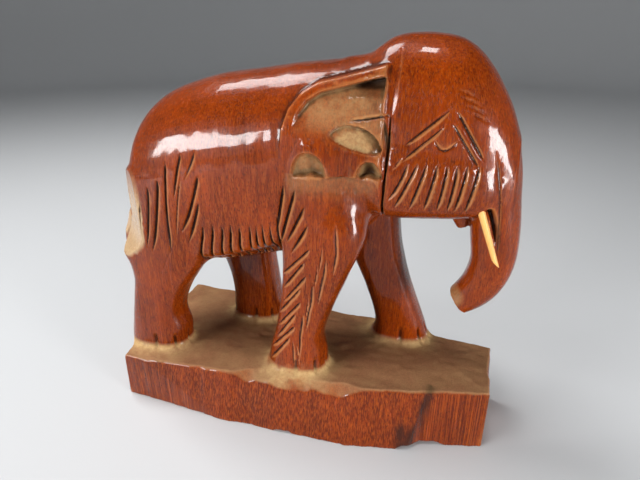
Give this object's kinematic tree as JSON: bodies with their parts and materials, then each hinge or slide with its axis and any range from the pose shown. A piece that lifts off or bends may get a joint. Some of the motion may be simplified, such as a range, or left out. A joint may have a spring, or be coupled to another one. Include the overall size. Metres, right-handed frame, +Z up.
{
  "type": "carved elephant figurine",
  "caption": "Carved wooden elephant walking on a rough-hewn plinth cut from the same block, with slivers of pale wood glued in as tusks.",
  "frame": {"origin": "middle of the underside of the plinth", "axes": "+X towards the animal's head, +Y towards its left side, +Z up"},
  "size_m": [0.1185, 0.049, 0.1095],
  "materials": {
    "dark_wood": "worn glossy varnish",
    "pale_wood": "satin"
  },
  "bodies": {
    "root": {"carving": "dark_wood", "tusk_right": "pale_wood", "tusk_left": "pale_wood"}
  },
  "joints": []
}
